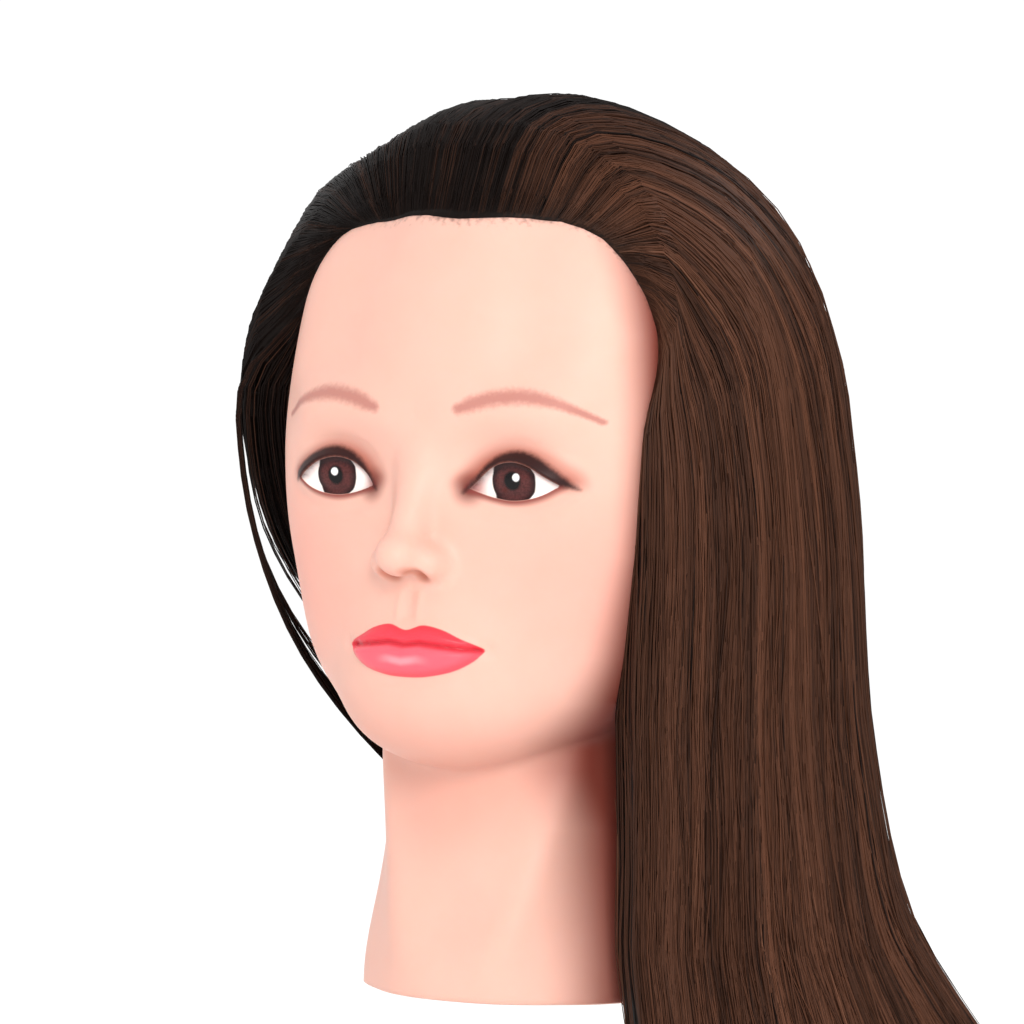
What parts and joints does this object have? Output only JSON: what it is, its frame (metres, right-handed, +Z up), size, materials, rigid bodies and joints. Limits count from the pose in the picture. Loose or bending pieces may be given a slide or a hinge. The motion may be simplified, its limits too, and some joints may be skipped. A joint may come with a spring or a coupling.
{
  "type": "mannequin training head",
  "caption": "Hairdresser's training head: soft skin with a painted face over a foam core, long straight implanted hair, and a neck base with a blind socket for a clamp pin.",
  "frame": {"origin": "centre of the clamp socket's mouth, in the plane of the neck's lower edge", "axes": "+Z up along the neck and the socket's bore; the face looks along -Y; the head's own left is +X"},
  "size_m": [0.264, 0.2437, 0.4225],
  "materials": {
    "skin_vinyl": "matt peach vinyl with painted features",
    "core_foam": "rigid foam",
    "backing_latex": "brushed-on latex",
    "base_plastic": "black moulded plastic",
    "socket_plastic": "dark grey moulded plastic",
    "screw_steel": "zinc plated",
    "hair_fibre": "dark brown straight fibre with a soft gloss"
  },
  "bodies": {
    "root": {"head_skin": "skin_vinyl", "foam_core": "core_foam", "root_backing": "backing_latex", "neck_base_plate": "base_plastic", "clamp_socket": "socket_plastic", "base_screw_1": "screw_steel", "base_screw_2": "screw_steel", "base_screw_3": "screw_steel", "base_screw_4": "screw_steel", "hair_left_temple": "hair_fibre", "hair_left_side": "hair_fibre", "hair_left_front": "hair_fibre", "hair_top_left": "hair_fibre", "hair_top_centre": "hair_fibre", "hair_top_right": "hair_fibre", "hair_right_front": "hair_fibre", "hair_right_side": "hair_fibre", "hair_right_temple": "hair_fibre", "hair_under_left_side": "hair_fibre", "hair_under_left_back": "hair_fibre", "hair_nape_left": "hair_fibre", "hair_nape_right": "hair_fibre", "hair_under_right_side": "hair_fibre"}
  },
  "joints": []
}
